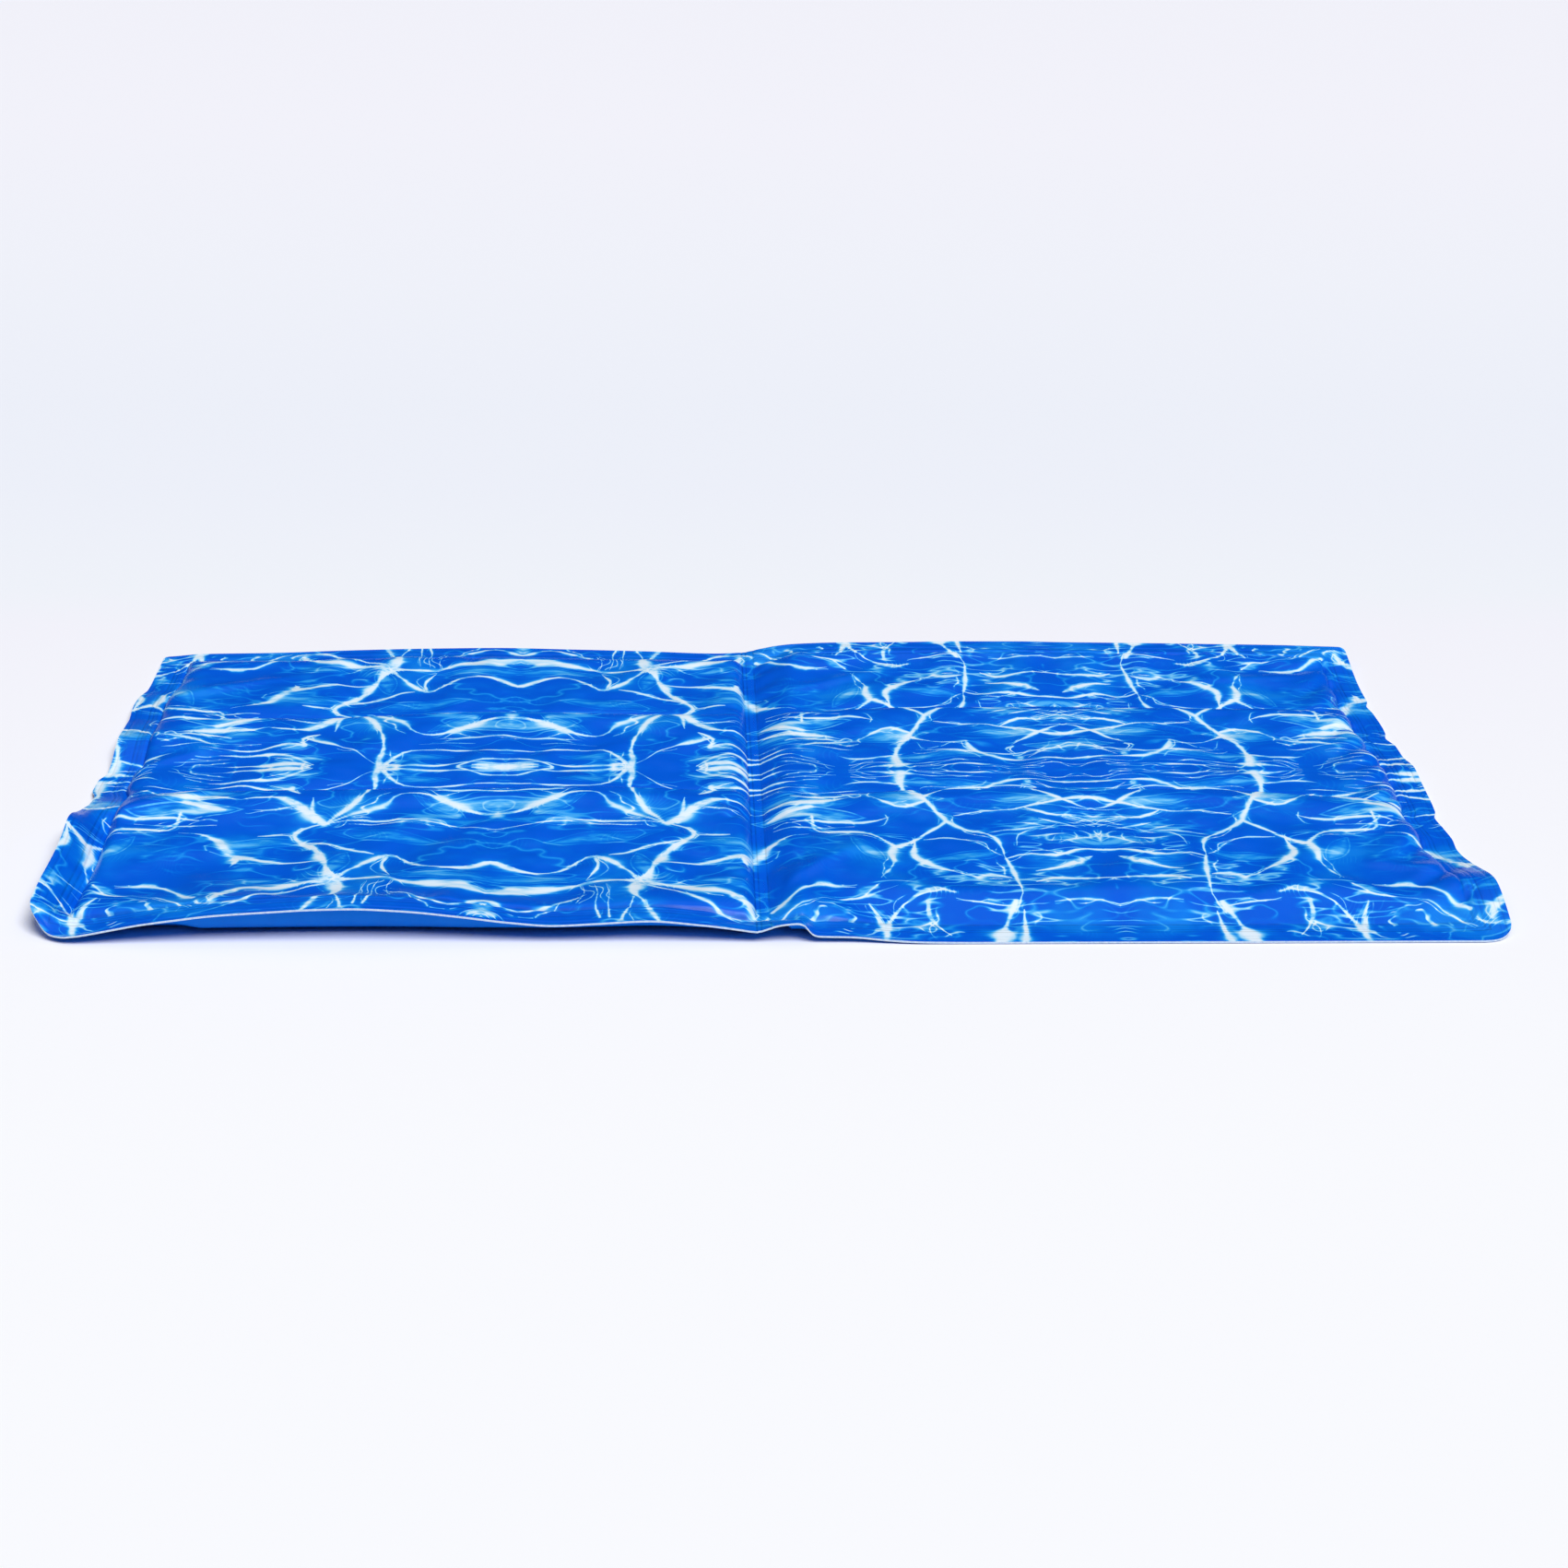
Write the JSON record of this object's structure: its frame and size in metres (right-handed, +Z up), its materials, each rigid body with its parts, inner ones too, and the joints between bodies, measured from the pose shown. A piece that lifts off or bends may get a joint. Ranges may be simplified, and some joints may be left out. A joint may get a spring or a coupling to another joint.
{
  "type": "dog cooling mat",
  "caption": "Folding gel cooling mat for a dog: a thin gel-filled mat with a water-ripple print, a flat welded border and a welded strip across the middle along which it folds.",
  "frame": {"origin": "on the floor, under the middle of the mat's box", "axes": "+X along the long side, from the left half to the right half; +Y from the front edge to the back edge; +Z up, out of the printed face"},
  "size_m": [0.9, 0.5, 0.0224],
  "materials": {
    "printed_top_sheet": "satin",
    "plain_bottom_sheet": "satin",
    "gel": "gloss"
  },
  "bodies": {
    "left_panel": {"top_cover_left": "printed_top_sheet", "bottom_cover_left": "plain_bottom_sheet", "gel_core_left": "gel"},
    "fold_strip": {"fold_strip_top": "printed_top_sheet", "fold_strip_bottom": "plain_bottom_sheet"},
    "right_panel": {"top_cover_right": "printed_top_sheet", "bottom_cover_right": "plain_bottom_sheet", "gel_core_right": "gel"}
  },
  "joints": [
    {"name": "left_bend", "type": "hinge", "parent": "left_panel", "child": "fold_strip", "pos_m": [-0.016, 0, 0.006], "axis": [0, -1, 0], "range_deg": [0, 90]},
    {"name": "right_bend", "type": "hinge", "parent": "fold_strip", "child": "right_panel", "pos_m": [0.004, 0, 0.006], "axis": [0, -1, 0], "range_deg": [0, 90]}
  ],
  "couplings": [
    {"joint": "right_bend", "follows": "left_bend", "ratio": 1}
  ]
}
